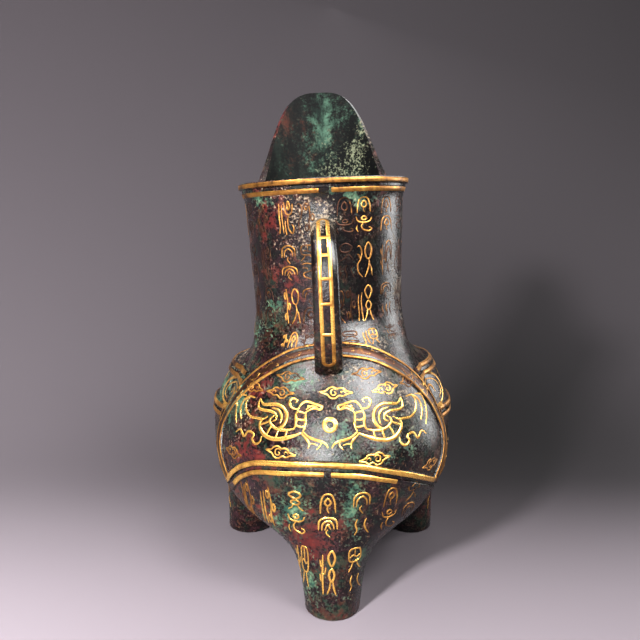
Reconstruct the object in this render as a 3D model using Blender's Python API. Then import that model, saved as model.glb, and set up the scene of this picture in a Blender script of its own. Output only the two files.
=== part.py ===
"""Bronze tripod ewer: a tall collar with an upright pouring lip, a lobed body on three hollow bag legs, and a
strap handle over the largest lobe. It is one casting. Metres, +Z up, handle towards -Y, lip towards +Y."""

import math

import bmesh
import bpy
import numpy as np
from mathutils import Vector

# Heights above the ground.
HEIGHT = 0.300
RIM_Z = 0.2365
NECK_FOOT_Z = 0.158
KEEL_Z = 0.062

# The body's plan: three rounds set out from the axis, under the handle, to the right and to the left. Each has
# the direction of its middle, how far it is set out, and the height by which it is set out in full. The creases
# lie between them.
LOBE_DIRECTIONS = (-90, 30, 150)
LOBE_OFFSETS = (0.0159, 0.0227, 0.0227)
LOBES_FULL_Z = (0.126, 0.100, 0.100)
CREASE_DIRECTIONS = (-165, -15, 90, 195)

# How far the middle of a lobe reaches from the axis: (height, radius).
HANDLE_LOBE_REACH = (
    (0.062, 0.0812), (0.070, 0.0833), (0.078, 0.0845), (0.086, 0.0846), (0.094, 0.0830), (0.102, 0.0800),
    (0.110, 0.0770), (0.118, 0.0732), (0.126, 0.0686), (0.134, 0.0625), (0.141, 0.0560), (0.147, 0.0508),
    (0.153, 0.0470), (0.158, 0.0452),
)
RIGHT_LOBE_REACH = (
    (0.062, 0.0790), (0.070, 0.0797), (0.080, 0.0797), (0.090, 0.0796), (0.100, 0.0785), (0.107, 0.0764),
    (0.114, 0.0729), (0.120, 0.0690), (0.126, 0.0640), (0.131, 0.0568), (0.135, 0.0520), (0.139, 0.0494),
    (0.144, 0.0476), (0.151, 0.0461), (0.158, 0.0452),
)
LEFT_LOBE_REACH = (
    (0.062, 0.0772), (0.070, 0.0783), (0.080, 0.0787), (0.090, 0.0785), (0.100, 0.0769), (0.107, 0.0744),
    (0.114, 0.0706), (0.120, 0.0667), (0.126, 0.0625), (0.131, 0.0562), (0.135, 0.0518), (0.139, 0.0494),
    (0.144, 0.0476), (0.151, 0.0461), (0.158, 0.0452),
)
LOBE_REACHES = (HANDLE_LOBE_REACH, RIGHT_LOBE_REACH, LEFT_LOBE_REACH)
NECK_REACH = ((0.158, 0.0452), (0.166, 0.0450), (0.182, 0.0455), (0.202, 0.0464), (0.228, 0.0476))

# Legs: how far each foot stands from the axis, a foot's radius, and the way a leg opens out from its foot
# (share of the height, share of the way out to the belly).
LEG_CIRCLE_R = (0.0668, 0.0649, 0.0649)
FOOT_R = 0.0152
FOOT_BEVEL = 0.0007
LEG_FLARE = (
    (0.0, 0.0), (0.16, 0.045), (0.29, 0.080), (0.42, 0.140), (0.516, 0.215), (0.600, 0.340), (0.668, 0.480),
    (0.806, 0.800), (0.935, 0.965), (1.0, 1.0),
)
SPOKE_SAG = 0.0040
WALL = 0.0035

# The rim moulding down the outside, from the edge: (distance from the edge, how far it stands out).
RIM_MOULDING = (
    (0.0, 0.0037), (0.0032, 0.0035), (0.0038, 0.0020), (0.0052, 0.0019), (0.0085, 0.0007), (0.0125, 0.0),
)

# The pouring lip: how far round it reaches, how high it rises, how far its tip leans out and its tip's wall.
LIP_HALF_ANGLE = math.radians(62)
LIP_RISE = HEIGHT - RIM_Z
LIP_LEAN = 0.0185
LIP_WALL = 0.0024

# The collar leans a little to the left above the shoulder.
SIDE_LEAN = math.radians(2.6)
SIDE_LEAN_Z = 0.098
SIDE_LEAN_SPAN = 0.050

# Raised bands on the body, along their middles: (direction from the handle lobe's middle in degrees, height).
# The arch and the belt frame the handle lobe; the two rings run round the other lobes.
ARCH_HALF = ((0, 0.1435), (10, 0.1430), (23, 0.1400), (36, 0.1330), (46.5, 0.1240), (55.7, 0.1115),
             (61.2, 0.1000), (61.5, 0.0890), (58, 0.0775), (51, 0.0655))
BELT = ((-52, 0.0630), (-47, 0.0685), (-42.3, 0.0739), (-37.4, 0.0786), (-30, 0.0834), (-21, 0.0857),
        (-5.7, 0.0874), (5, 0.0867), (12, 0.0852), (24, 0.0799), (35, 0.0738), (44, 0.0681), (52, 0.0632))
UPPER_RING = (53, 0.1245)
LOWER_RING = (66, 0.0985)

# Band sections: (share of the half width, height above the wall).
ARCH_WIDTH = 0.0104
ARCH_SECTION = ((-1.0, 0.0), (-0.9, 0.0012), (-0.68, 0.0012), (-0.6, 0.0008), (0.6, 0.0008), (0.68, 0.0012),
                (0.9, 0.0012), (1.0, 0.0))
BELT_WIDTH = 0.0084
BELT_SECTION = ((-1.0, 0.0), (-0.9, 0.0013), (-0.3, 0.0015), (-0.2, 0.0007), (0.15, 0.0008), (0.25, 0.0019),
                (0.85, 0.0019), (1.0, 0.0))
BAND_SINK = 0.0018

# The handle, along its middle: (y, height), and how far it stands to the side. Its section is a thick oval at the
# root and a strap with rounded edges below: (share of the way along, width, depth, squareness).
HANDLE_PATH = (
    (-0.0450, 0.2085), (-0.0520, 0.2085), (-0.0605, 0.2062), (-0.0678, 0.2005), (-0.0722, 0.1910),
    (-0.0736, 0.1780), (-0.0722, 0.1630), (-0.0692, 0.1500), (-0.0652, 0.1415), (-0.0603, 0.1348),
)
HANDLE_X = -0.0015
HANDLE_SECTIONS = (
    (0.0, 0.0136, 0.0130, 2.0), (0.12, 0.0136, 0.0128, 2.0), (0.28, 0.0136, 0.0102, 2.4), (0.45, 0.0138, 0.0088, 3.0),
    (0.7, 0.0144, 0.0086, 3.2), (1.0, 0.0156, 0.0086, 3.2),
)

# Mesh density.
COLUMN_STEP = 7.5
SPOKE_STEPS = 6
BODY_HEIGHTS = (0.151, 0.144, 0.137, 0.130, 0.121, 0.111, 0.100, 0.088, 0.075)
INNER_HEIGHTS = (0.147, 0.134, 0.118, 0.098, 0.080)
NECK_SHARES = (0.84, 0.66, 0.48, 0.32, 0.15, 0.0)
INNER_NECK_SHARES = (0.80, 0.54, 0.28, 0.0)
LEG_SHARES = (0.94, 0.86, 0.77, 0.67, 0.55, 0.38, 0.18)
INNER_LEG_SHARES = (0.90, 0.77, 0.62, 0.42, 0.19)
HANDLE_STEPS, HANDLE_SIDES = 22, 12
ARCH_STEPS, BELT_STEPS, RING_STEP = 36, 22, 8.5


def smooth(points, at):
    """A smooth curve through (x, y) points, read at x."""
    xs, ys = np.array(points, float).T
    slopes = np.gradient(ys, xs)
    i = int(np.clip(np.searchsorted(xs, at) - 1, 0, len(xs) - 2))
    span = xs[i + 1] - xs[i]
    t = (at - xs[i]) / span
    ends = ys[i] * (1 + 2 * t) * (1 - t) ** 2 + ys[i + 1] * t * t * (3 - 2 * t)
    return float(ends + span * (slopes[i] * t * (1 - t) ** 2 - slopes[i + 1] * t * t * (1 - t)))


def ease(t):
    t = min(1.0, max(0.0, t))
    return t * t * (3 - 2 * t)


def body_radius(angle, z, inset=0.0):
    """The body's radius about its axis below the neck: the furthest that any of the three rounds reaches."""
    reaches = []
    for direction, offset, full_z, profile in zip(LOBE_DIRECTIONS, LOBE_OFFSETS, LOBES_FULL_Z, LOBE_REACHES):
        off = offset * ease((NECK_FOOT_Z - z) / (NECK_FOOT_Z - full_z))
        turn = angle - math.radians(direction)
        round_radius = smooth(profile, z) - inset - off
        across = round_radius**2 - (off * math.sin(turn)) ** 2
        reaches.append(off * math.cos(turn) + math.sqrt(across))
    return max(reaches)


def leaned(x, y, z):
    """Tips what is above the shoulder to the left."""
    rise = max(0.0, z - SIDE_LEAN_Z)
    turn = min(1.0, rise / SIDE_LEAN_SPAN)
    shift = rise - SIDE_LEAN_SPAN / 2 if turn == 1 else rise * turn / 2
    return Vector((x - SIDE_LEAN * shift, y, z + SIDE_LEAN * turn * x))


def wall_point(angle, z, out=0.0, inset=0.0):
    """A point on the wall above the keel, set in by the wall's thickness, then moved out from the axis."""
    rise = max(0.0, z - RIM_Z) / LIP_RISE
    if z < NECK_FOOT_Z:
        radius = body_radius(angle, z, inset)
    else:
        thinning = 1 - (1 - LIP_WALL / WALL) * rise
        radius = smooth(NECK_REACH, min(z, NECK_REACH[-1][0])) - inset * thinning
    back = LIP_LEAN * rise**1.5
    radius += out
    return leaned(radius * math.cos(angle), radius * math.sin(angle) + back, z)


def lip_turn(angle):
    """The angle from the middle of the lip, as a share of the lip's half width."""
    turn = (angle - math.radians(90) + math.pi) % (2 * math.pi) - math.pi
    return turn / LIP_HALF_ANGLE


def edge_z(angle):
    """The height of the rim, or of the lip's edge where the lip stands on it."""
    away = min(1.0, abs(lip_turn(angle)))
    return RIM_Z + LIP_RISE * (1 - away**3.1) ** 2


def below_edge(angle, distance):
    """The (angle, height) that lies this far below the edge, square to it."""
    step = 0.002
    radius = NECK_REACH[-1][1]
    slope = (edge_z(angle + step) - edge_z(angle - step)) / (2 * step * radius)
    length = math.hypot(1, slope)
    return angle + distance * slope / length / radius, edge_z(angle) - distance / length


def columns():
    """The directions of the mesh's upright lines: even steps, with one on each crease."""
    start, end = CREASE_DIRECTIONS[0], CREASE_DIRECTIONS[-1]
    return [math.radians(start + COLUMN_STEP * i) for i in range(round((end - start) / COLUMN_STEP))]


def add_loop(mesh, points):
    return [mesh.verts.new(point) for point in points]


def bridge(mesh, first, second):
    """Faces between two closed loops of as many corners."""
    for i, corner in enumerate(first):
        j = (i + 1) % len(first)
        mesh.faces.new((corner, first[j], second[j], second[i]))


def collar_loop(share, depth, out, inset):
    """A loop round the collar: share 1 lies the given depth below the edge, and share 0 at the neck's foot."""
    points = []
    for angle in columns():
        top_angle, top_z = below_edge(angle, depth)
        angle += (top_angle - angle) * share
        fade = max(0.0, 1 - abs(lip_turn(angle)))
        z = NECK_FOOT_Z + (top_z - NECK_FOOT_Z) * share
        points.append(wall_point(angle, z, out * (1 - ease(fade * 3)), inset))
    return points


def upper_loops(inside):
    """The loops of one skin, from the edge down to the keel."""
    if inside:
        loops = [collar_loop(1, depth, 0, WALL) for depth in (0, RIM_MOULDING[-1][0])]
        shares, heights, inset, keel = INNER_NECK_SHARES, INNER_HEIGHTS, WALL, KEEL_Z + WALL * 1.1
    else:
        loops = [collar_loop(1, depth, out, 0) for depth, out in RIM_MOULDING]
        shares, heights, inset, keel = NECK_SHARES, BODY_HEIGHTS, 0, KEEL_Z
    loops += [collar_loop(share, RIM_MOULDING[-1][0], 0, inset) for share in shares]
    loops += [[wall_point(angle, z, 0, inset) for angle in columns()] for z in (*heights, keel)]
    return loops


def spoke(mesh, corner, centre):
    """The corners along the underside between two legs, from the crease in to the middle."""
    corners = []
    for step in range(1, SPOKE_STEPS):
        t = step / SPOKE_STEPS
        point = corner.co.lerp(centre.co, t)
        point.z -= SPOKE_SAG * math.sin(math.pi * t)
        corners.append(mesh.verts.new(point))
    return corners


def leg_loop(mesh, top, axis, share, foot_radius, lift):
    """A loop of a leg at a share of its height, drawn in from its top loop towards the foot. The corners keep
    the top loop's directions from the leg's axis at the top, and are spaced evenly at the foot."""
    flare = smooth(LEG_FLARE, share)
    away = np.array([(corner.co.x - axis.x, corner.co.y - axis.y) for corner in top])
    turns = np.unwrap(np.arctan2(away[:, 1], away[:, 0]))
    even = np.linspace(0, 2 * math.pi, len(top), endpoint=False)
    even += np.mean(turns - even)
    angles = even + (turns - even) * share
    reaches = np.interp(angles, turns, np.hypot(*away.T), period=2 * math.pi)
    heights = np.interp(angles, turns, [corner.co.z for corner in top], period=2 * math.pi)
    points = []
    for angle, reach, height in zip(angles, reaches, heights):
        radius = foot_radius + (reach - foot_radius) * flare
        z = (height - lift * 1.1) * share + lift * (0.35 + 0.75 * flare)
        points.append((axis.x + radius * math.cos(angle), axis.y + radius * math.sin(angle), z))
    return add_loop(mesh, points)


def foot(mesh, ring, axis):
    """Closes an outer leg with a flat foot that has a small rounded edge."""
    for radius, height in ((FOOT_R, FOOT_BEVEL), (FOOT_R - FOOT_BEVEL, 0.0)):
        points = []
        for corner in ring:
            away = (Vector((corner.co.x, corner.co.y)) - axis).normalized() * radius
            points.append((axis.x + away.x, axis.y + away.y, height))
        lower = add_loop(mesh, points)
        bridge(mesh, ring, lower)
        ring = lower
    mesh.faces.new(ring)


def legs(mesh, keel, inside):
    """Three bag legs under one skin, joined along three spokes that meet in the middle."""
    wall = WALL if inside else 0.0
    starts = [round((crease - CREASE_DIRECTIONS[0]) / COLUMN_STEP) for crease in CREASE_DIRECTIONS]
    centre = mesh.verts.new((0, 0, keel[0].co.z))
    spokes = [spoke(mesh, keel[start], centre) for start in starts[:-1]]
    for lobe, direction in enumerate(LOBE_DIRECTIONS):
        start, end = starts[lobe], starts[lobe + 1]
        arc = [keel[i % len(keel)] for i in range(start, end + 1)]
        top = arc + spokes[(lobe + 1) % 3] + [centre] + spokes[lobe][::-1]
        turn = math.radians(direction)
        axis = Vector((math.cos(turn), math.sin(turn))) * LEG_CIRCLE_R[lobe]
        ring = top
        for share in INNER_LEG_SHARES if inside else LEG_SHARES:
            lower = leg_loop(mesh, top, axis, share, FOOT_R - wall, wall)
            bridge(mesh, ring, lower)
            ring = lower
        if inside:
            mesh.faces.new(ring)
        else:
            foot(mesh, ring, axis)


def skin(mesh, inside):
    """One skin of the vessel, and its edge loop."""
    loops = [add_loop(mesh, points) for points in upper_loops(inside)]
    for upper, lower in zip(loops, loops[1:]):
        bridge(mesh, upper, lower)
    legs(mesh, loops[-1], inside)
    return loops[0]


def to_object(mesh, name):
    """Closes the work on a bmesh: triangles, faces turned outwards, and an object in the part's collection."""
    mesh.normal_update()
    bmesh.ops.triangulate(mesh, faces=mesh.faces[:])
    bmesh.ops.recalc_face_normals(mesh, faces=mesh.faces[:])
    data = bpy.data.meshes.new(name)
    mesh.to_mesh(data)
    mesh.free()
    obj = bpy.data.objects.new(name, data)
    bpy.context.scene.collection.objects.link(obj)
    return obj


def vessel():
    mesh = bmesh.new()
    bridge(mesh, skin(mesh, inside=False), skin(mesh, inside=True))
    return to_object(mesh, "ewer")


def sweep(name, frames, sections):
    """A closed solid along a path. Each frame is (place, across, out), with a section of (across, out) offsets."""
    mesh = bmesh.new()
    rings = []
    for (place, across, out), section in zip(frames, sections):
        rings.append(add_loop(mesh, [place + across * a + out * o for a, o in section]))
    for first, second in zip(rings, rings[1:]):
        bridge(mesh, first, second)
    mesh.faces.new(rings[0])
    mesh.faces.new(rings[-1])
    return to_object(mesh, name)


def along(corners, steps):
    """Evenly spaced readings of a smooth curve through the given corners."""
    first = [(i, corner[0]) for i, corner in enumerate(corners)]
    second = [(i, corner[1]) for i, corner in enumerate(corners)]
    last = len(corners) - 1
    return [(smooth(first, last * i / steps), smooth(second, last * i / steps)) for i in range(steps + 1)]


def wall_frames(path):
    """Frames along a path of (direction from the handle lobe's middle, height) on the body."""
    places = [(math.radians(turn - 90), z) for turn, z in path]
    points = [wall_point(angle, z) for angle, z in places]
    frames = []
    for i, (angle, z) in enumerate(places):
        heading = points[min(i + 1, len(points) - 1)] - points[max(i - 1, 0)]
        round_it = wall_point(angle + 0.02, z) - wall_point(angle - 0.02, z)
        up_it = wall_point(angle, z + 0.001) - wall_point(angle, z - 0.001)
        out = round_it.cross(up_it).normalized()
        frames.append((points[i], out.cross(heading).normalized(), out))
    return frames


def band(name, path, width, section):
    """A raised band with its lower edge on the section's negative side."""
    edge = width / 2
    raised = [(share * edge, height) for share, height in section]
    solid = [(-edge, -BAND_SINK), *raised, (edge, -BAND_SINK)]
    return sweep(name, wall_frames(path), [solid] * len(path))


def bands():
    arch = [(-turn, z) for turn, z in ARCH_HALF[:0:-1]] + list(ARCH_HALF)
    pieces = [
        band("arch", along(arch, ARCH_STEPS), ARCH_WIDTH, ARCH_SECTION),
        band("belt", along(BELT, BELT_STEPS), BELT_WIDTH, BELT_SECTION),
    ]
    for name, (start, z) in (("upper_ring", UPPER_RING), ("lower_ring", LOWER_RING)):
        reach = 360 - 2 * start
        steps = round(reach / RING_STEP)
        path = [(start + reach * i / steps, z) for i in range(steps + 1)]
        pieces.append(band(name, path, BELT_WIDTH, BELT_SECTION))
    return pieces


def strap_section(share):
    """The handle's section at a share of its length: a rounded oblong."""
    width, depth, squareness = (
        smooth([(row[0], row[part]) for row in HANDLE_SECTIONS], share) for part in (1, 2, 3)
    )
    section = []
    for i in range(HANDLE_SIDES):
        turn = 2 * math.pi * (i + 0.5) / HANDLE_SIDES
        size = abs(math.cos(turn)) ** squareness + abs(math.sin(turn)) ** squareness
        reach = size ** (-1 / squareness) / 2
        section.append((math.cos(turn) * reach * width, math.sin(turn) * reach * depth))
    return section


def handle():
    """The strap handle, in the upright plane of the handle lobe."""
    path = [leaned(HANDLE_X, y, z) for y, z in along(HANDLE_PATH, HANDLE_STEPS)]
    frames = []
    for i, point in enumerate(path):
        heading = path[min(i + 1, len(path) - 1)] - path[max(i - 1, 0)]
        across = Vector((1, 0, SIDE_LEAN))
        frames.append((point, across, heading.cross(across).normalized()))
    return sweep("handle", frames, [strap_section(i / HANDLE_STEPS) for i in range(HANDLE_STEPS + 1)])


def join(body, pieces):
    """Unites the pieces with the body, one after another."""
    for piece in pieces:
        union = body.modifiers.new(piece.name, "BOOLEAN")
        union.operation = "UNION"
        union.object = piece
        with bpy.context.temp_override(object=body, active_object=body):
            bpy.ops.object.modifier_apply(modifier=union.name)
        bpy.data.objects.remove(piece)


def bronze():
    material = bpy.data.materials.new("bronze")
    material.use_nodes = True
    surface = material.node_tree.nodes["Principled BSDF"]
    surface.inputs["Base Color"].default_value = (0.045, 0.032, 0.030, 1)
    surface.inputs["Metallic"].default_value = 0.6
    surface.inputs["Roughness"].default_value = 0.42
    return material


def main():
    for obj in list(bpy.data.objects):
        bpy.data.objects.remove(obj)
    body = vessel()
    join(body, [handle(), *bands()])
    low = Vector([min(corner.co[i] for corner in body.data.vertices) for i in range(3)])
    high = Vector([max(corner.co[i] for corner in body.data.vertices) for i in range(3)])
    middle = (low + high) / 2
    for corner in body.data.vertices:
        corner.co -= Vector((middle.x, middle.y, low.z))
    body.data.materials.clear()
    body.data.materials.append(bronze())
    body.data.shade_smooth()
    body.data.set_sharp_from_angle(angle=math.radians(35))
    collection = bpy.data.collections.new("tripod_ewer")
    bpy.context.scene.collection.children.link(collection)
    collection.objects.link(body)
    bpy.context.scene.collection.objects.unlink(body)


main()
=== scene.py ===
"""The looks of the tripod ewer: a finely meshed casting with a worn patina, its gold inlay, and the studio.

Metres, +Z up, handle towards -Y. Places on the vessel are (turn, height): the turn in degrees round its
upright axis from the middle of the handle lobe, positive to the right, and the height above the ground."""

import math
import random
from bisect import bisect
from itertools import accumulate

import bmesh
import bpy
import numpy as np
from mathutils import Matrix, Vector, noise
from mathutils.bvhtree import BVHTree


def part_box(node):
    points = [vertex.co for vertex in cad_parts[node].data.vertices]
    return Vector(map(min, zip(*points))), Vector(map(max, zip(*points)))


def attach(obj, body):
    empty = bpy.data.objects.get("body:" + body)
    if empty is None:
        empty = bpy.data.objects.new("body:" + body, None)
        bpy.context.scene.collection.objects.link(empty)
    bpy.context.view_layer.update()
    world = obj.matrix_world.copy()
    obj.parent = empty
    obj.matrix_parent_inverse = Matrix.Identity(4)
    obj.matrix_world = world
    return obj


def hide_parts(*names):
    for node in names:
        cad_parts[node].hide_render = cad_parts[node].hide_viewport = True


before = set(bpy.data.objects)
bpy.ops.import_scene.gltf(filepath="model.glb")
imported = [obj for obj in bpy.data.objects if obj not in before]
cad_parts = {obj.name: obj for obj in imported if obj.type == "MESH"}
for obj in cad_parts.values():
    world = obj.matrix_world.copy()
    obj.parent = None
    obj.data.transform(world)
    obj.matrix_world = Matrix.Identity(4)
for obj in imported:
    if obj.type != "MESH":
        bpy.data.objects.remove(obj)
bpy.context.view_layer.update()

MM = 0.001


def metres(*rows):
    """Rows of lengths in millimetres, in metres."""
    return [tuple(length / 1000 for length in row) for row in rows]


def places(*rows):
    """Rows of (turn or share, length in millimetres), with the lengths in metres."""
    return [(first, length / 1000) for first, length in rows]


# The vessel's axis, from the sides of the solid's box that its left and front lobes touch.
cad_low, cad_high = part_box("ewer")
AXIS = Vector((cad_low.x + 76.4 * MM, cad_low.y + 86.2 * MM, 0))
HEIGHT = cad_high.z

# The vessel, as the solid has it.
RIM_Z = 0.2365
NECK_FOOT_Z = 0.158
KEEL_Z = 0.062
LOBE_DIRECTIONS = (-90, 30, 150)
LOBE_OFFSETS = (0.0159, 0.0227, 0.0227)
LOBES_FULL_Z = (0.126, 0.100, 0.100)
CREASES = (-165, -15, 90, 195)
LEG_CIRCLE_R = (0.0668, 0.0649, 0.0649)
FOOT_R = 0.0152
FOOT_BEVEL = 0.0007
SPOKE_SAG = 0.0040
WALL = 0.0035
KEEL_SHARE, LEG_FLOOR_SHARE, LEG_FLOOR_RISE = 1.1, 0.35, 0.75
KEEL_WALL = WALL * KEEL_SHARE
LIP_HALF_ANGLE = math.radians(62)
LIP_RISE = HEIGHT - RIM_Z
LIP_LEAN = 0.0185
LIP_WALL = 0.0024
LIP_LEAN_POWER, LIP_EDGE_POWER = 1.5, 3.1
LIP_MOULDING_FADE = 3
SIDE_LEAN = math.radians(2.6)
SIDE_LEAN_Z = 0.098
SIDE_LEAN_SPAN = 0.050

# How far the middle of each lobe, and the collar above, reach from the axis: (height, radius).
SHOULDER_TOP = ((139, 49.4), (144, 47.6), (151, 46.1), (158, 45.2))
LOBE_REACHES = (
    metres((62, 81.2), (70, 83.3), (78, 84.5), (86, 84.6), (94, 83.0), (102, 80.0), (110, 77.0), (118, 73.2),
           (126, 68.6), (134, 62.5), (141, 56.0), (147, 50.8), (153, 47.0), (158, 45.2)),
    metres((62, 79.0), (70, 79.7), (80, 79.7), (90, 79.6), (100, 78.5), (107, 76.4), (114, 72.9), (120, 69.0),
           (126, 64.0), (131, 56.8), (135, 52.0), *SHOULDER_TOP),
    metres((62, 77.2), (70, 78.3), (80, 78.7), (90, 78.5), (100, 76.9), (107, 74.4), (114, 70.6), (120, 66.7),
           (126, 62.5), (131, 56.2), (135, 51.8), *SHOULDER_TOP),
)
NECK_REACH = metres((158, 45.2), (166, 45.0), (182, 45.5), (202, 46.4), (228, 47.6))

# How a leg opens out from its foot: (share of the height, share of the way out to the belly).
LEG_FLARE = (
    (0.0, 0.0), (0.16, 0.045), (0.29, 0.080), (0.42, 0.140), (0.516, 0.215), (0.600, 0.340), (0.668, 0.480),
    (0.806, 0.800), (0.935, 0.965), (1.0, 1.0),
)

# The rim's moulding down the outside, in millimetres: (distance from the edge, how far it stands out).
RIM_MOULDING = metres((0, 2.8), (0.4, 3.6), (3, 3.5), (3.4, 2.9), (3.8, 1.9), (5, 1.7), (5.4, 2), (8, 1.1),
                      (8.8, 0.6), (12.5, 0))

# Raised bands along their middles, and their sections: (share of the half width, height).
ARCH_HALF = places((0, 143.5), (10, 143), (23, 140), (36, 133), (46.5, 124), (55.7, 111.5), (61.2, 100),
                   (61.5, 89), (58, 77.5), (51, 65.5))
BELT = places((-52, 63), (-47, 68.5), (-42.3, 73.9), (-37.4, 78.6), (-30, 83.4), (-21, 85.7), (-5.7, 87.4),
              (5, 86.7), (12, 85.2), (24, 79.9), (35, 73.8), (44, 68.1), (52, 63.2))
UPPER_RING = (53, 0.1245)
LOWER_RING = (66, 0.0985)
ARCH_WIDTH = 0.0104
ARCH_SECTION = places((-1, -0.2), (-0.93, 0.9), (-0.86, 1.2), (-0.68, 1.2), (-0.6, 0.8), (-0.3, 1), (0, 1.1),
                      (0.3, 1), (0.6, 0.8), (0.68, 1.2), (0.86, 1.2), (0.93, 0.9), (1, -0.2))
BELT_WIDTH = 0.0084
BELT_SECTION = places((-1, -0.2), (-0.94, 1), (-0.87, 1.3), (-0.32, 1.5), (-0.25, 1.2), (-0.2, 0.4),
                      (0.15, 0.4), (0.2, 1.4), (0.28, 1.9), (0.84, 1.9), (0.93, 1.4), (1, -0.2))
ARCH_BAND = (ARCH_WIDTH, ARCH_SECTION)
BELT_BAND = (BELT_WIDTH, BELT_SECTION)
BAND_SINK = 0.0012

# The handle along its middle, (y, height), and its section: (share of the way, width, depth, squareness).
HANDLE_PATH = metres((-45, 208.5), (-52, 208.5), (-60.5, 206.2), (-67.8, 200.5), (-72.2, 191), (-73.6, 178),
                     (-72.2, 163), (-69.2, 150), (-65.2, 141.5), (-60.3, 134.8))
HANDLE_X = -0.0015
HANDLE_SECTIONS = (
    (0.0, 0.0136, 0.0130, 2.0), (0.12, 0.0136, 0.0128, 2.0), (0.28, 0.0136, 0.0102, 2.4),
    (0.45, 0.0138, 0.0088, 3.0), (0.7, 0.0144, 0.0086, 3.2), (1.0, 0.0156, 0.0086, 3.2),
)

# Mesh density.
COLUMN_STEP = 1.5
NECK_STEPS, INNER_NECK_STEPS = 40, 24
BODY_STEP, INNER_BODY_STEP = 0.002, 0.004
LEG_STEPS, INNER_LEG_STEPS = 26, 12
LEG_LOWEST, INNER_LEG_LOWEST = 0.03, 0.19
SPOKE_STEPS = 14
HANDLE_STEPS, HANDLE_SIDES = 110, 48
ARCH_STEPS, BELT_STEPS, RING_STEP = 217, 108, 1.2

# The casting's unevenness: (how far, over what length). It fades out just above the ground.
WAVINESS = ((0.00022, 0.016), (0.00008, 0.005))
GROUND_FADE = 0.004

# Gold stands this much proud of the bronze, and its edges sink this much into it.
GOLD_PROUD = 0.00012
GOLD_SINK = 0.00025

# How far from the axis lies well outside the vessel.
WELL_OUTSIDE = 0.2

# Gold on the raised bands, as (from, to) in shares of the half width, with how worn it is.
BELT_UPPER, BELT_LOWER = (0.22, 0.95), (-0.95, -0.28)
BELT_UPPER_TURNS, BELT_UPPER_TONE = (-50.5, 46), 0.05
BELT_LOWER_TURNS, BELT_LOWER_TONE = ((-46, -3.4), (-0.8, 24)), 0.12
RING_TONE = 0.35
ARCH_GOLD = (((0.60, 0.95), 0.30), ((-0.95, -0.60), 0.26), ((-0.50, 0.50), 0.66))

# Gold on the rim: (depth of its upper and lower edge, first and last turn).
RIM_GOLD = ((0.0002, 0.0033, -180, 180), (0.0053, 0.0083, 4.5, 128), (0.0053, 0.0083, -128, -4))
RIM_TONE = 0.34

# The ladder on the handle.
LADDER_TOP_Z, LADDER_FOOT_Z = 0.2135, 0.1382
LADDER_RUNGS = (0.2055, 0.1968, 0.1849, 0.1721, 0.1560)
LADDER_WIDTH = 0.0079
LADDER_RAIL, LADDER_RUNG = 0.0023, 0.0020
LADDER_NARROWING = 0.14
RAIL_TONE, LADDER_END_TONE, RUNG_TONE = 0.05, 0.2, 0.08
RAIL_POINTS, LADDER_END_POINTS = 80, 18

# The inscription: its rows and columns, as heights and turns, and the widths and heights of its signs.
NECK_ROWS = metres((206.6, 225.4), (181.6, 200.8), (156.8, 176.8), (143.5, 153))
NECK_COLUMNS = (-68, -49, -27.5, -13, 13, 27, 47.5, 65.5, *(84.5 + 19 * i for i in range(10)), 274)
NECK_SIGN_WIDTH, NECK_STROKE = 0.0100, 0.92
NECK_TONES = (0.18, 0.32)
LEG_ROWS = (
    (0.061, 0.0098, (-37.4, -26.5, -14.2, -2, 10.5, 22.5, 33)),
    (0.028, 0.0086, (-13.0, -2, 8.6)),
)
LEG_SIGN_HEIGHT, LEG_STROKE = 0.026, 1.32

# Below this height signs are laid on the legs, whose radius about the vessel's axis is taken as even.
LEG_SIGNS_Z = KEEL_Z + 0.02
LEG_SIGN_R, LOW_LEG_SIGN_R, LOW_LEG_Z = 0.080, 0.078, 0.045
LEG_SIGN_SQUASH = 0.97

# Turns where the inscription is brightest, and how it browns away from them. On the neck, the browning of the
# columns beside the handle is painted shade: the handle's shadow.
BRIGHT_TURNS = (-26, 34, 120, 160, -150, -100)
NECK_BROWNING, BROWNING_FROM, BROWNING_SPAN = 0.42, 6, 14
BRIGHT_LEG_TURN, LEG_BROWNING, LEG_TONE = -6, 0.013, -0.05


class Curve:
    """A smooth curve through (x, y) points. Calling it reads y at x."""

    def __init__(self, points):
        xs, ys = np.array(points, float).T
        self.xs, self.ys, self.slopes = xs.tolist(), ys.tolist(), np.gradient(ys, xs).tolist()

    def __call__(self, at):
        i = min(max(bisect(self.xs, at) - 1, 0), len(self.xs) - 2)
        span = self.xs[i + 1] - self.xs[i]
        t = (at - self.xs[i]) / span
        ends = self.ys[i] * (1 + 2 * t) * (1 - t) ** 2 + self.ys[i + 1] * t * t * (3 - 2 * t)
        return ends + span * (self.slopes[i] * t * (1 - t) ** 2 - self.slopes[i + 1] * t * t * (1 - t))


def ease(t):
    """0 below 0 and 1 above 1, with a smooth rise between."""
    t = min(1.0, max(0.0, t))
    return t * t * (3 - 2 * t)


def through(corners, steps, closed=False):
    """Points along a smooth curve through the corners, as tuples with as many parts as a corner has."""
    if closed:
        corners = [*corners[-2:], *corners, *corners[:3]]
    first, last = (2, len(corners) - 3) if closed else (0, len(corners) - 1)
    curves = [Curve(list(enumerate(parts))) for parts in zip(*corners)]
    return [tuple(curve(first + (last - first) * i / steps) for curve in curves) for i in range(steps + 1)]


def headings(points, closed=False):
    """The way from the point before to the point after, at each point of a line."""
    before, after = (points[-2], points[1]) if closed else (points[0], points[-1])
    around = [before, *points, after]
    return [second - first for first, second in zip(around, around[2:])]


def lengths_along(points):
    """How far along the line through them each point lies."""
    return list(accumulate(((b - a).length for a, b in zip(points, points[1:])), initial=0.0))


def angle_of(turn):
    return math.radians(turn - 90)


def towards(angle, rise=0.0):
    """The direction at an angle round the axis and an angle above level."""
    return Vector((math.cos(angle) * math.cos(rise), math.sin(angle) * math.cos(rise), math.sin(rise)))


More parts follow.
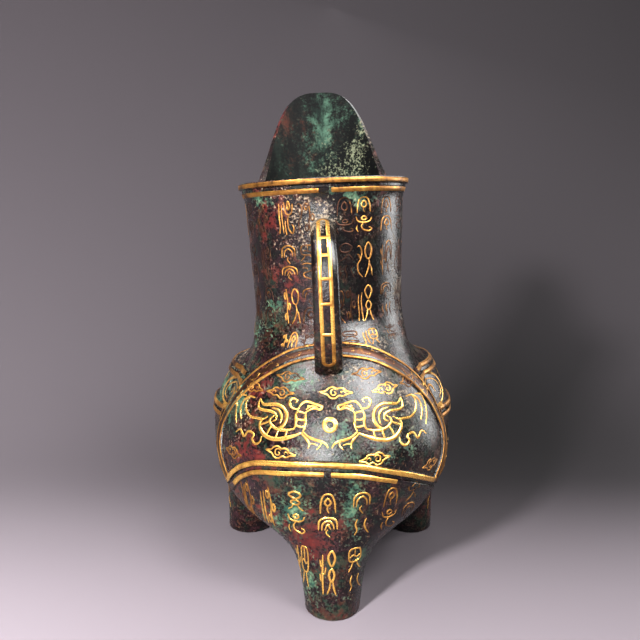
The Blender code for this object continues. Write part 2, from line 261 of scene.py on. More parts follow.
lobe_reaches = [Curve(points) for points in LOBE_REACHES]
neck_reach = Curve(NECK_REACH)
leg_flare = Curve(LEG_FLARE)
handle_sections = [Curve([(row[0], row[part]) for row in HANDLE_SECTIONS]) for part in (1, 2, 3)]


# The vessel's surface


def body_radius(angle, z, inset=0.0):
    """The body's radius about its axis below the neck: the furthest that any of the three rounds reaches."""
    reaches = []
    for direction, offset, full_z, reach in zip(LOBE_DIRECTIONS, LOBE_OFFSETS, LOBES_FULL_Z, lobe_reaches):
        off = offset * ease((NECK_FOOT_Z - z) / (NECK_FOOT_Z - full_z))
        turn = angle - math.radians(direction)
        across = (reach(z) - inset - off) ** 2 - (off * math.sin(turn)) ** 2
        reaches.append(off * math.cos(turn) + math.sqrt(across))
    return max(reaches)


def leaned(x, y, z):
    """Tips the vessel to the left, from the upper belly up."""
    rise = max(0.0, z - SIDE_LEAN_Z)
    turn = min(1.0, rise / SIDE_LEAN_SPAN)
    shift = rise - SIDE_LEAN_SPAN / 2 if turn == 1 else rise * turn / 2
    return Vector((x - SIDE_LEAN * shift, y, z + SIDE_LEAN * turn * x))


def wall_point(angle, z, out=0.0, inset=0.0):
    """A point on the wall above the keel, set in by the wall's thickness, then moved out from the axis."""
    rise = max(0.0, z - RIM_Z) / LIP_RISE
    if z < NECK_FOOT_Z:
        radius = body_radius(angle, z, inset)
    else:
        thinning = 1 - (1 - LIP_WALL / WALL) * rise
        radius = neck_reach(min(z, NECK_REACH[-1][0])) - inset * thinning
    radius += out
    return leaned(radius * math.cos(angle), radius * math.sin(angle) + LIP_LEAN * rise**LIP_LEAN_POWER, z)


def lip_turn(angle):
    """The angle from the middle of the lip, as a share of the lip's half width."""
    turn = (angle - math.radians(90) + math.pi) % (2 * math.pi) - math.pi
    return turn / LIP_HALF_ANGLE


def edge_z(angle):
    """The height of the rim, or of the lip's edge where the lip stands on it."""
    away = min(1.0, abs(lip_turn(angle)))
    return RIM_Z + LIP_RISE * (1 - away**LIP_EDGE_POWER) ** 2


def below_edge(angle, distance):
    """The (angle, height) that lies this far below the edge, square to it."""
    step = 0.002
    radius = NECK_REACH[-1][1]
    slope = (edge_z(angle + step) - edge_z(angle - step)) / (2 * step * radius)
    length = math.hypot(1, slope)
    return angle + distance * slope / length / radius, edge_z(angle) - distance / length


def columns():
    """The directions of the mesh's upright lines: even steps, with one on each crease."""
    start, end = CREASES[0], CREASES[-1]
    return [math.radians(start + COLUMN_STEP * i) for i in range(round((end - start) / COLUMN_STEP))]


def collar_point(angle, share, depth, out, inset):
    """A point of the collar: share 1 lies the given depth below the edge, and share 0 at the neck's foot."""
    top_angle, top_z = below_edge(angle, depth)
    angle += (top_angle - angle) * share
    fade = max(0.0, 1 - abs(lip_turn(angle)))
    z = NECK_FOOT_Z + (top_z - NECK_FOOT_Z) * share
    return wall_point(angle, z, out * (1 - ease(fade * LIP_MOULDING_FADE)), inset)


def add_object(name, data):
    obj = bpy.data.objects.new(name, data)
    bpy.context.scene.collection.objects.link(obj)
    return obj


def add_tones(mesh, tones):
    """Gives each corner of a mesh its tone, for the mesh's material to read."""
    mesh.attributes.new("tone", "FLOAT", "POINT").data.foreach_set("value", tones)


class Piece:
    """The corners and faces of one piece, with a tone from 0 to 1 for each corner."""

    def __init__(self):
        self.corners = []
        self.faces = []
        self.tones = []

    def loop(self, points, tone=0.0):
        """Adds a line of corners and gives their numbers."""
        start = len(self.corners)
        self.corners.extend(points)
        self.tones.extend([tone] * len(points))
        return list(range(start, len(self.corners)))

    def bridge(self, first, second, closed=True):
        """Faces between two lines of as many corners, facing right of the way from first to second."""
        for i in range(len(first) if closed else len(first) - 1):
            j = (i + 1) % len(first)
            self.faces.append((first[i], second[i], second[j], first[j]))

    def join(self, rows, closed=True):
        for first, second in zip(rows, rows[1:]):
            self.bridge(first, second, closed)

    def mesh(self, name):
        mesh = bpy.data.meshes.new(name)
        mesh.from_pydata([corner + AXIS for corner in self.corners], [], self.faces)
        add_tones(mesh, self.tones)
        mesh.validate()
        return mesh


def finish_piece(piece, name, material, sharp=40):
    """Makes a piece's object: smooth faces with sharp corners, on the vessel's body, in the named finish."""
    mesh = piece.mesh(name)
    mesh.materials.append(material)
    mesh.shade_smooth()
    mesh.set_sharp_from_angle(angle=math.radians(sharp))
    obj = add_object(name, mesh)
    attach(obj, "root")
    return obj


def upper_loops(inside):
    """The loops of one skin, from the edge down to the keel."""
    inset, keel, steps, body_step = 0, KEEL_Z, NECK_STEPS, BODY_STEP
    moulding_depth = RIM_MOULDING[-1][0]
    moulding = RIM_MOULDING
    if inside:
        inset, keel, steps, body_step = WALL, KEEL_Z + KEEL_WALL, INNER_NECK_STEPS, INNER_BODY_STEP
        moulding = ((0, 0), (moulding_depth, 0))
    collar = [(1, depth, out) for depth, out in moulding]
    collar += [(1 - i / steps, moulding_depth, 0) for i in range(1, steps + 1)]
    loops = [[collar_point(angle, *place, inset) for angle in columns()] for place in collar]
    rows = round((NECK_FOOT_Z - keel) / body_step)
    for i in range(1, rows + 1):
        z = NECK_FOOT_Z + (keel - NECK_FOOT_Z) * i / rows
        loops.append([wall_point(angle, z, 0, inset) for angle in columns()])
    return loops


def leg_ring(top, axis, share, foot_radius, lift):
    """A ring of a leg at a share of its height, drawn in from its top ring towards the foot. The corners
    keep the top ring's directions from the leg's axis at the top, and are spaced evenly at the foot."""
    flare = leg_flare(share)
    away = np.array([(corner.x - axis.x, corner.y - axis.y) for corner in top])
    turns = np.unwrap(np.arctan2(away[:, 1], away[:, 0]))
    even = np.linspace(0, 2 * math.pi, len(top), endpoint=False)
    even += np.mean(turns - even)
    angles = even + (turns - even) * share
    reaches = np.interp(angles, turns, np.hypot(*away.T), period=2 * math.pi)
    heights = np.interp(angles, turns, [corner.z for corner in top], period=2 * math.pi)
    points = []
    for angle, reach, height in zip(angles, reaches, heights):
        radius = foot_radius + (reach - foot_radius) * flare
        z = (height - lift * KEEL_SHARE) * share + lift * (LEG_FLOOR_SHARE + LEG_FLOOR_RISE * flare)
        points.append(Vector((axis.x + radius * math.cos(angle), axis.y + radius * math.sin(angle), z)))
    return points


def foot_rings(ring, axis):
    """The rounded edge of a foot and its flat underside, inwards from the leg's last ring."""
    rings = []
    for radius, height in ((1.0, FOOT_BEVEL), (1 - FOOT_BEVEL / FOOT_R, 0.0), (0.5, 0.0), (0.02, 0.0)):
        points = []
        for corner in ring:
            away = Vector((corner.x - axis.x, corner.y - axis.y, 0)).normalized() * FOOT_R * radius
            points.append(Vector((axis.x + away.x, axis.y + away.y, height)))
        rings.append(points)
    return rings


def spoke(piece, corner, centre):
    """The corners along the underside between two legs, from the crease in to the middle."""
    points = []
    for step in range(1, SPOKE_STEPS):
        t = step / SPOKE_STEPS
        point = piece.corners[corner].lerp(piece.corners[centre], t)
        point.z -= SPOKE_SAG * math.sin(math.pi * t)
        points.append(point)
    return piece.loop(points)


def legs(piece, keel, inside):
    """Three bag legs under one skin, joined along three spokes that meet in the middle."""
    wall, steps, lowest = 0.0, LEG_STEPS, LEG_LOWEST
    if inside:
        wall, steps, lowest = WALL, INNER_LEG_STEPS, INNER_LEG_LOWEST
    shares = [1 + (lowest - 1) * i / steps for i in range(1, steps + 1)]
    starts = [round((crease - CREASES[0]) / COLUMN_STEP) for crease in CREASES]
    centre = piece.loop([Vector((0, 0, piece.corners[keel[0]].z))])[0]
    spokes = [spoke(piece, keel[start], centre) for start in starts[:-1]]
    for lobe, direction in enumerate(LOBE_DIRECTIONS):
        arc = [keel[i % len(keel)] for i in range(starts[lobe], starts[lobe + 1] + 1)]
        top = arc + spokes[(lobe + 1) % 3] + [centre] + spokes[lobe][::-1]
        top_points = [piece.corners[i] for i in top]
        axis = towards(math.radians(direction)) * LEG_CIRCLE_R[lobe]
        rings = [leg_ring(top_points, axis, share, FOOT_R - wall, wall) for share in shares]
        if not inside:
            rings += foot_rings(rings[-1], axis)
        rows = [top, *(piece.loop(points) for points in rings)]
        piece.join(rows)
        piece.faces.append(tuple(rows[-1]))


def vessel():
    """The body, an outer and an inner skin that meet at the edge, and which of its faces are inside."""
    piece = Piece()
    edges = []
    ends = []
    for inside in (False, True):
        loops = [piece.loop(points) for points in upper_loops(inside)]
        piece.join(loops)
        legs(piece, loops[-1], inside)
        edges.append(loops[0])
        ends.append(len(piece.faces))
    piece.bridge(*edges)
    return piece, range(*ends)


def roughen(obj):
    """Moves a piece's corners along their normals by the casting's unevenness, except at the ground."""
    normals = [normal.vector.copy() for normal in obj.data.vertex_normals]
    moved = []
    for vertex, normal in zip(obj.data.vertices, normals):
        hold = ease((vertex.co.z - FOOT_BEVEL) / GROUND_FADE)
        wave = sum(height * noise.noise(vertex.co / length) for height, length in WAVINESS)
        moved.extend(vertex.co + normal * wave * hold)
    obj.data.vertices.foreach_set("co", moved)
    obj.data.update()


def wall_frames(path):
    """(place, across, out) along a path of (turn, height) on the body."""
    points = [wall_point(angle_of(turn), z) for turn, z in path]
    frames = []
    for (turn, z), point, heading in zip(path, points, headings(points)):
        angle = angle_of(turn)
        round_it = wall_point(angle + 0.02, z) - wall_point(angle - 0.02, z)
        up_it = wall_point(angle, z + MM) - wall_point(angle, z - MM)
        out = round_it.cross(up_it).normalized()
        frames.append((point, out.cross(heading).normalized(), out))
    return frames


def swept(frames, sections):
    """A closed solid along frames of (place, across, out), with a section of (across, out) for each."""
    piece = Piece()
    rings = []
    for (place, across, out), section in zip(frames, sections):
        rings.append(piece.loop([place + across * a + out * o for a, o in section]))
    for first, second in zip(rings, rings[1:]):
        piece.bridge(second, first)
    piece.faces += [tuple(rings[0]), tuple(rings[-1])]
    return piece


def arch_path():
    return through([(-turn, z) for turn, z in ARCH_HALF[:0:-1]] + ARCH_HALF, ARCH_STEPS)


def belt_path():
    return through(BELT, BELT_STEPS)


def ring_path(start, z):
    """Round the back, from one side of the handle lobe to the other."""
    spread = 360 - 2 * start
    steps = round(spread / RING_STEP)
    return [(start + spread * i / steps, z) for i in range(steps + 1)]


def band(path, width, section):
    """A raised band with its lower edge on the section's negative side."""
    edge = width / 2
    raised = [(share * edge, height) for share, height in section]
    solid = [(-edge, -BAND_SINK), *raised, (edge, -BAND_SINK)]
    return swept(wall_frames(path), [solid] * len(path))


def handle_frames():
    path = [leaned(HANDLE_X, y, z) for y, z in through(HANDLE_PATH, HANDLE_STEPS)]
    across = Vector((1, 0, SIDE_LEAN))
    return [(point, across, way.cross(across).normalized()) for point, way in zip(path, headings(path))]


def strap_section(share):
    """The handle's section at a share of its length: a rounded oblong."""
    width, depth, squareness = (curve(share) for curve in handle_sections)
    section = []
    for i in range(HANDLE_SIDES):
        turn = 2 * math.pi * (i + 0.5) / HANDLE_SIDES
        size = abs(math.cos(turn)) ** squareness + abs(math.sin(turn)) ** squareness
        reach = size ** (-1 / squareness) / 2
        section.append((math.cos(turn) * reach * width, math.sin(turn) * reach * depth))
    return section


def handle():
    """The strap handle, in the upright plane of the handle lobe."""
    return swept(handle_frames(), [strap_section(i / HANDLE_STEPS) for i in range(HANDLE_STEPS + 1)])


# Gold on the bronze


class Wall:
    """Cast pieces as the gold finds them: the outermost surface under a place."""

    def __init__(self, *objects):
        corners = []
        faces = []
        for obj in objects:
            start = len(corners)
            corners.extend(vertex.co - AXIS for vertex in obj.data.vertices)
            faces.extend(tuple(start + i for i in face.vertices) for face in obj.data.polygons)
        self.tree = BVHTree.FromPolygons(corners, faces)

    def onto(self, point, normal, reach=4 * MM):
        """The point moved along the normal onto the surface, where that is within reach."""
        found = self.tree.ray_cast(point + normal * reach, -normal, 2 * reach)[0]
        return point if found is None else found

    def at(self, turn, z):
        """The point and the outward normal at a place, or None where nothing is there."""
        if z < KEEL_Z + 2 * MM:
            out = towards(angle_of(turn))
            outside = Vector((0, 0, z)) + out * WELL_OUTSIDE
            point, normal, _, _ = self.tree.ray_cast(outside, -out, WELL_OUTSIDE - 10 * MM)
            return None if point is None else (point, normal)
        point, _, out = wall_frames([(turn, z), (turn, z + MM)])[0]
        return self.onto(point, out), out


def local(turn, z):
    """Turns (right, up) millimetres from a place into (turn, height) places along the body."""
    angle = angle_of(turn)
    steps = 8
    flattest = 0.35

    def place(right, up):
        height = z
        for _ in range(steps):
            rise = wall_point(angle, height + MM) - wall_point(angle, height - MM)
            height += up * MM / steps * max(flattest, rise.normalized().z)
        here = wall_point(angle, height)
        return turn + math.degrees(right * MM / math.hypot(here.x, here.y)), height

    return place


def stroke_width(share, length, width, tip):
    """The width along a stroke: full in the middle, narrower towards its rounded ends."""
    from_end = min(share, 1 - share) * length
    taper = tip + (1 - tip) * ease(from_end / (4 * width))
    rounding = math.sqrt(max(0.0, 1 - (1 - min(1.0, from_end / (0.5 * width))) ** 2))
    return width * taper * (0.15 + 0.85 * rounding)


class Inlay(Piece):
    """Gold let into a wall: it lies a little proud of the bronze, with its edges sunk into it."""

    def __init__(self, wall):
        super().__init__()
        self.wall = wall

    def laid(self, point, out, is_edge, reach=4 * MM):
        return self.wall.onto(point, out, reach) + out * (-GOLD_SINK if is_edge else GOLD_PROUD)

    def ribbon(self, hits, widths, tone, closed=False):
        """A stroke through points on the bronze, given with their normals, of a width at each."""
        rows = []
        for (point, normal), way, width in zip(hits, headings([hit[0] for hit in hits], closed), widths):
            side = normal.cross(way).normalized()
            shares = (-0.5, -0.4, 0.4, 0.5)
            row = [self.laid(point + side * width * share, normal, abs(share) == 0.5) for share in shares]
            rows.append(self.loop(row, tone))
        self.join(rows, closed=False)

    def stroke(self, corners, width, closed=False, tip=0.6, tone=0.0, step=0.7 * MM):
        """A stroke through corners of (turn, height)."""
        rough = [(place, self.wall.at(*place)) for place in through(corners, 10 * len(corners), closed)]
        rough = [(place, hit[0]) for place, hit in rough if hit]
        lengths = lengths_along([point for _, point in rough])
        whole = lengths[-1]
        if len(rough) < 3 or whole < 2 * width and not closed:
            return
        count = max(4, round(whole / step))
        stations = {whole * i / count for i in range(count + 1)}
        if not closed:
            stations |= {abs(end - width * share) for share in (0.06, 0.2, 0.45) for end in (0, whole)}
        stations = sorted(stations)
        turns, heights = np.array([place for place, _ in rough]).T
        hits = [self.wall.at(np.interp(s, lengths, turns), np.interp(s, lengths, heights)) for s in stations]
        widths = [width if closed else stroke_width(s / whole, whole, width, tip) for s in stations]
        self.ribbon(hits, widths, tone, closed)

    def draw(self, middle, line, width, facing=1, **how):
        """A stroke through corners in millimetres about a place, mirrored where it faces left (-1)."""
        place = local(*middle)
        self.stroke([place(x * facing, y) for x, y in line], width * MM, **how)

    def ring(self, middle, radius, width):
        turns = np.linspace(0, math.tau, 13)[:-1]
        circle = [(radius * math.cos(turn), radius * math.sin(turn)) for turn in turns]
        self.draw(middle, circle, width, closed=True, step=0.5 * MM)

    def band(self, path, width, section, reach, tone):
        """Gold on a raised band, between two shares of its half width."""
        shares, heights = zip(*section)
        inner = [share for share in shares if reach[0] < share < reach[1]]
        rows = []
        for place, across, out in wall_frames(path):
            row = []
            for share in (reach[0], *inner, reach[1]):
                point = place + across * share * width / 2 + out * float(np.interp(share, shares, heights))
                row.append(self.laid(point, out, share in reach, MM))
            rows.append(self.loop(row, tone))
        self.join(rows, closed=False)


def part_of(path, start, end):
    """The part of a path between two turns, with its ends exactly there."""
    turns, heights = zip(*path)
    kept = [start] + [turn for turn in turns if start < turn < end] + [end]
    return [(turn, float(np.interp(turn, turns, heights))) for turn in kept]


def all_band_gold(wall):
    """Two gold lines on every raised band, and worn gold between those of the arched one."""
    gold = Inlay(wall)
    belt = belt_path()
    gold.band(part_of(belt, *BELT_UPPER_TURNS), *BELT_BAND, BELT_UPPER, BELT_UPPER_TONE)
    for turns in BELT_LOWER_TURNS:
        gold.band(part_of(belt, *turns), *BELT_BAND, BELT_LOWER, BELT_LOWER_TONE)
    for ring in (UPPER_RING, LOWER_RING):
        for reach in (BELT_UPPER, BELT_LOWER):
            gold.band(ring_path(*ring), *BELT_BAND, reach, RING_TONE)
    for reach, tone in ARCH_GOLD:
        gold.band(arch_path(), *ARCH_BAND, reach, tone)
    return gold


def rim_gold(wall):
    """A gold band on the rim's edge all round, and one below it that stops over the handle and at the lip."""
    gold = Inlay(wall)
    depths, heights = zip(*RIM_MOULDING)
    for top, bottom, start, end in RIM_GOLD:
        rows = []
        for i in range(round((end - start) / COLUMN_STEP) + 1):
            angle = angle_of(start + i * COLUMN_STEP)
            out = towards(angle)
            row = []
            for share in (1, 0.88, 0.5, 0.12, 0):
                depth = top + (bottom - top) * share
                point = collar_point(angle, 1, depth, float(np.interp(depth, depths, heights)), 0)
                row.append(gold.laid(point, out, share in (0, 1), 1.5 * MM))
            rows.append(gold.loop(row, RIM_TONE))
        gold.join(rows, closed=False)
    return gold


class Strap:
    """The handle's outer face, as places of (across, length down the face from its root)."""

    def __init__(self, wall):
        self.wall = wall
        self.side = Vector((1, 0, SIDE_LEAN))
        depth = handle_sections[1]
        frames = handle_frames()
        self.faces = [place + out * depth(i / HANDLE_STEPS) / 2 for i, (place, _, out) in enumerate(frames)]
        self.outs = [out for _, _, out in frames]
        self.lengths = lengths_along(self.faces)

    def length_at(self, z):
        """How far down the face a height is."""
        falling = np.maximum.accumulate([-point.z for point in self.faces])
        return float(np.interp(-z, falling, self.lengths))

    def at(self, across, length):
        i = min(max(bisect(self.lengths, length) - 1, 0), len(self.faces) - 2)
        share = (length - self.lengths[i]) / (self.lengths[i + 1] - self.lengths[i])
        out = self.outs[i].lerp(self.outs[i + 1], share).normalized()
        face = self.faces[i].lerp(self.faces[i + 1], share)
        return self.wall.onto(face + self.side * across, out), out


def handle_gold(wall):
    """A ladder down the outer face of the strap, with an arched top and a rounded foot."""
    gold = Inlay(wall)
    strap = Strap(wall)
    rail = LADDER_WIDTH / 2 - LADDER_RAIL / 2
    top, foot = strap.length_at(LADDER_TOP_Z), strap.length_at(LADDER_FOOT_Z) - rail

    def spread(length):
        return rail * (1 - LADDER_NARROWING * (1 - ease((length - top) / (0.5 * (foot - top)))))

    def lay(corners, width, tone):
        gold.ribbon([strap.at(*corner) for corner in corners], [width] * len(corners), tone)

    for side in (-1, 1):
        rail_line = [(side * spread(length), length) for length in np.linspace(top, foot, RAIL_POINTS)]
        lay(rail_line, LADDER_RAIL, RAIL_TONE)
    for end, way in ((top, -1), (foot, 1)):
        turns = np.linspace(0, math.pi, LADDER_END_POINTS)
        arc = [(spread(end) * math.cos(turn), end + way * rail * math.sin(turn)) for turn in turns]
        lay(arc, LADDER_RAIL, LADDER_END_TONE)
    for z in LADDER_RUNGS:
        length = strap.length_at(z)
        lay([(spread(length) * i / 4, length) for i in range(-4, 5)], LADDER_RUNG, RUNG_TONE)
    return gold


# The inscription: rows of strokes in the manner of old seals, made up here and meaning nothing


def line(*values, closed=False):
    """A stroke's corners, from x and y in turn in hundredths of a motif's cell, and whether it closes."""
    return list(zip(values[::2], values[1::2])), closed


def reeds(rng):
    """Long upright strokes, side by side, with their feet turned out."""
    count = rng.choice((1, 2, 2, 3))
    strokes = []
    for i in range(count):
        x = 100 * (i + 0.5) / count
        foot = x + (x - 50) * 0.5 + rng.uniform(-12, 12)
        top = 100 - rng.uniform(0, 14)
        strokes.append(line(x + 6, top, x - 5, 62, x + 4, 30, foot, rng.uniform(0, 8)))
    return strokes


def bud(rng):
    """A closed oval on a long bent stem."""
    high = rng.uniform(58, 68)
    return [
        line(50, 100, 90, high + 20, 72, high - 6, 28, high - 6, 12, high + 18, closed=True),
        line(52, high - 8, 62, 40, 42, 18, 5, 0),
        line(60, 42, 84, 26, 98, 2),
    ]


def fern(rng):
    """A long stem with branches on alternate sides."""
    side = rng.choice((-1, 1))
    branches = []
    for z, way in ((72, side), (54, -side), (36, side)):
        branches.append(line(50, z, 50 + way * 26, z - 2, 50 + way * 44, z + 15))
    return [line(50, 100, 44, 50, 56, 0), *branches]


def canopy(rng):
    """A tall hood whose legs reach the ground, over a drop."""
    low = rng.uniform(30, 42)
    return [
        line(4, 0, 10, 60, 30, 95, 70, 95, 90, 60, 96, 6),
        line(50, 78, 68, low + 16, 50, low, 32, low + 16, closed=True),
        line(50, low - 2, 46, low - 14, 56, 4),
    ]


def swan(rng):
    """A long double bend with a short stroke in its crook."""
    reach = rng.uniform(80, 100)
    return [line(10, 96, 50, 100, reach, 80, 60, 56, 22, 42, 28, 18, 90, 0), line(14, 74, 40, 72, 46, 60)]


def knot(rng):
    """Two loops, one over the other, with a tail to each side."""
    pinch = rng.uniform(56, 64)
    return [
        line(50, 100, 88, 84, 50, pinch + 5, 12, 84, closed=True),
        line(50, pinch, 80, pinch - 14, 50, 30, 20, pinch - 14, closed=True),
        line(36, 32, 26, 16, 0, 2),
        line(64, 32, 74, 16, 100, 0),
    ]


def beads(rng):
    """A bent stem with small drops hung from it, on one side and then on the other."""
    side = rng.choice((-1, 1))
    drops = []
    for z, x in ((80, 50 + side * 30), (50, 50 - side * 30), (20, 50 + side * 30)):
        drops.append(line(x, z + 10, x + 17, z, x, z - 11, x - 17, z, closed=True))
    return [line(42, 100, 56, 66, 44, 34, 60, 0), *drops]


def nest(rng):
    """Arches inside one another, on a crooked stem."""
    arches = []
    for gap in range(0, 17 * rng.choice((2, 3)), 17):
        arches.append(line(gap, 34, 6 + gap, 84 - gap, 50, 100 - gap, 94 - gap, 84 - gap, 100 - gap, 40))
    return [*arches, line(50, 40, 40, 22, 62, 0)]


def prongs(rng):
    """A small drop in a wide cup, on a bent stem that ends in a curl."""
    high = rng.uniform(54, 62)
    return [
        line(2, 96, 14, high + 8, 50, high, 86, high + 8, 98, 90),
        line(50, 98, 66, high + 25, 50, high + 14, 34, high + 25, closed=True),
        line(50, high, 34, 40, 44, 16, 80, 4, 98, 20, 78, 32),
        line(10, 42, 4, 22, 14, 0),
    ]


def lantern(rng):
    """A rounded box crossed by a bar and a wave, with two feet."""
    low = rng.uniform(34, 44)
    return [
        line(50, 100, 90, 92, 94, low + 10, 50, low, 8, low + 10, 10, 92, closed=True),
        line(12, low + 22, 36, low + 30, 64, low + 20, 90, low + 28),
        line(50, low + 28, 50, 98),
        line(34, low, 22, 18, 2, 0),
        line(64, low, 76, 20, 96, 2),
    ]


NARROW = (reeds, beads, swan, fern, reeds)
WIDE = (prongs, nest, lantern, canopy, knot, beads, bud, lantern)
LOW = (reeds, prongs, swan, nest, canopy)
SIDE_BY_SIDE = 0.55


def sign(rng):
    """The strokes of one sign about the middle of a cell 1 wide and 1 high: two motifs side by side, or one
    over the other."""
    if rng.random() < SIDE_BY_SIDE:
        narrow = rng.uniform(0.34, 0.42)
        parts = [(rng.choice(NARROW), 0, 0, narrow, rng.uniform(0.86, 1.0)),
                 (rng.choice(WIDE), narrow + 0.06, 0, 0.94 - narrow, 1.0)]
    else:
        share = rng.uniform(0.42, 0.52)
        parts = [(rng.choice(WIDE), 0.06, share + 0.04, 0.88, 0.96 - share),
                 (rng.choice(LOW), 0, 0, 1.0, share - 0.04)]
    strokes = []
    for motif, left, low, wide, high in parts:
        for corners, closed in motif(rng):
            shape = [(left + x / 100 * wide - 0.5, low + y / 100 * high - 0.5) for x, y in corners]
            strokes.append((shape, closed))
    return strokes


def engrave(gold, turn, z, width, height, stroke, tone, rng):
    """One sign about a place."""
    place = local(turn, z)
    radius = LEG_SIGN_R if z > LOW_LEG_Z else LOW_LEG_SIGN_R
    for shape, closed in sign(rng):
        across = [(x * width, y * height) for x, y in shape]
        if z > LEG_SIGNS_Z:
            corners = [place(x / MM, y / MM) for x, y in across]
        else:
            corners = [(turn + math.degrees(x / radius), z + y * LEG_SIGN_SQUASH) for x, y in across]
        gold.stroke(corners, stroke * rng.uniform(0.88, 1.1), closed, tone=tone)


def neck_browning(turn):
    """How brown the inscription is at a turn round the neck: 0 where it is brightest. Beside the handle the
    brown is painted shade.
    """
    away = min(abs((turn - bright + 180) % 360 - 180) for bright in BRIGHT_TURNS)
    return NECK_BROWNING * ease((away - BROWNING_FROM) / BROWNING_SPAN)


def inscription(wall):
    """Rows of signs round the neck, and on each lobe under the belt and down the leg."""
    rng = random.Random(12)
    gold = Inlay(wall)
    for low, high in NECK_ROWS:
        for turn in NECK_COLUMNS:
            # the columns beside the handle come out browner: painted shade
            tone = neck_browning(turn) + rng.uniform(*NECK_TONES)
            engrave(gold, turn, (low + high) / 2, NECK_SIGN_WIDTH, high - low, NECK_STROKE * MM, tone, rng)
    for lobe in (0, 120, -120):
        for z, width, turns in LEG_ROWS:
            for turn in turns:
                tone = abs(turn - BRIGHT_LEG_TURN) * LEG_BROWNING + LEG_TONE
                engrave(gold, lobe + turn, z, width, LEG_SIGN_HEIGHT, (LEG_STROKE - tone) * MM, tone, rng)
    return gold


# The picture on the lobe: two birds face a ringed disc among clouds.


def drawn(*values):
    """Corners in millimetres, from x and y in turn in tenths of a millimetre."""
    tenths = [value / 10 for value in values]
    return list(zip(tenths[::2], tenths[1::2]))


# The bird on the right, about the disc's centre: (width in millimetres, corners). The other mirrors it.
BIRD_LINES = (
    # head and crest
    (1.3, drawn(126, 64, 86, 86, 50, 80, 44, 96, 82, 110, 122, 120, 152, 106, 172, 72)),
    (1.0, drawn(64, 90, 92, 99, 128, 76)),
    (1.5, drawn(166, 80, 194, 76, 218, 94, 216, 122, 194, 132, 174, 120, 188, 108)),
    # neck, down to the legs
    (1.8, drawn(128, 66, 132, 36, 130, 6, 136, -22, 146, -44)),
    (1.7, drawn(172, 74, 184, 40, 182, 4, 192, -26, 208, -36)),
    (1.9, drawn(128, 56, 154, 62, 178, 64)),
    (1.9, drawn(132, 24, 158, 20, 184, 26)),
    (1.9, drawn(130, -12, 158, -16, 186, -8)),
    (1.5, drawn(142, -40, 118, -62, 84, -76, 44, -86, 20, -100, 10, -118)),
    (1.1, drawn(48, -88, 50, -106, 70, -128)),
    (1.3, drawn(154, -48, 126, -76, 110, -100, 116, -126)),
    (1.0, drawn(112, -100, 88, -98, 66, -106)),
    # body
    (1.6, drawn(194, -30, 244, -42, 296, -42, 336, -22, 342, 4, 314, 26)),
    (2.1, drawn(148, -46, 204, -70, 264, -90, 322, -98, 372, -88, 406, -60, 412, -26, 386, 2)),
    (1.8, drawn(232, -38, 238, -60, 248, -84)),
    (1.8, drawn(282, -42, 292, -66, 302, -94)),
    (1.8, drawn(328, -30, 344, -52, 364, -88)),
    (1.8, drawn(342, -6, 368, -20, 406, -36)),
    # wing
    (1.8, drawn(334, -24, 294, -40, 254, -16, 236, 28, 252, 70, 296, 88, 350, 82, 396, 76, 424, 102)),
    (1.5, drawn(326, -6, 302, 8, 306, 34, 342, 46, 394, 44, 430, 50, 432, 80, 422, 104)),
    (1.6, drawn(276, -14, 268, 24, 286, 58, 332, 66)),
    # tail plumes
    (1.4, drawn(356, 16, 392, -4, 440, -8, 496, -10, 546, 16, 556, 60, 522, 96)),
    (1.4, drawn(468, 98, 530, 94, 594, 54, 614, 2, 586, -46)),
    (1.3, drawn(560, 96, 634, 74, 668, 22, 666, -34, 634, -80)),
    (1.3, drawn(394, -96, 402, -126, 436, -146, 466, -128, 454, -100, 502, -92, 538, -128, 580, -100, 626,
              -126)),
)
BIRD_EYE = (11.2, 9.4)
BIRD_WEIGHT = 1.14
DISC_PLACE = (-1.3, 0.1088)

# The clouds: (turn, height in millimetres, which way each faces, how worn it is).
CLOUDS = (
    (-21, 130.6, 1, 0.3), (-24.5, 122.8, -1, 0.26), (1.6, 124, 1, 0.1), (17.5, 131.8, 1, 0.36),
    (25, 123.5, -1, 0.16), (42, 124, 1, 0.34), (-20, 93.5, 1, 0.12), (15.2, 91.2, -1, 0.08),
    (44, 79.5, 1, 0.3), (-42, 122.5, 1, 0.42), (-45, 86, -1, 0.3),
)
CLOUD_OUTLINE = drawn(-88, 4, -56, 10, -42, 24, -18, 32, 6, 22, 20, 26, 40, 22, 52, 8, 88, -4, 56, -10,
                      36, -20, 14, -16, -8, -30, -34, -26, -50, -8)
CLOUD_CURL = drawn(4, 12, -10, 20, -28, 12, -28, -8, -12, -14, -2, -2, -12, 6)
CLOUD_WISP = drawn(50, -2, 36, 9, 24, 4, 30, -5)
SCROLL_OUTER = drawn(-240, 40, -120, 90, 20, 94, 130, 46, 160, -36, 90, -96, -30, -100, -100, -46, -70,
                     16, 0, 24, 34, -22)
SCROLL_INNER = drawn(-210, 10, -110, 56, 10, 62, 96, 22, 116, -34, 66, -68)
ARCH_MARK = drawn(-48, -6, -22, 10, 8, 12, 34, 2, 42, -11, 26, -12)
SCROLL_TURNS, SCROLL_Z = (70, 112, 160, -160, -112, -70), 0.1125

# Which corners of the arched band's path have marks: the first, and every so many from it. And the wall's
# radius there, in millimetres.
ARCH_MARK_FIRST, ARCH_MARK_EVERY = 9, 11
ARCH_MARK_R = 80


def bird(gold, facing):
    """One bird, which faces the disc from the right (1) or from the left (-1)."""
    for width, corners in BIRD_LINES:
        gold.draw(DISC_PLACE, corners, width * BIRD_WEIGHT, facing, tip=0.5, tone=0.05)
    eye = local(*DISC_PLACE)(BIRD_EYE[0] * facing, BIRD_EYE[1])
    gold.ring(eye, 0.5, 1.0)


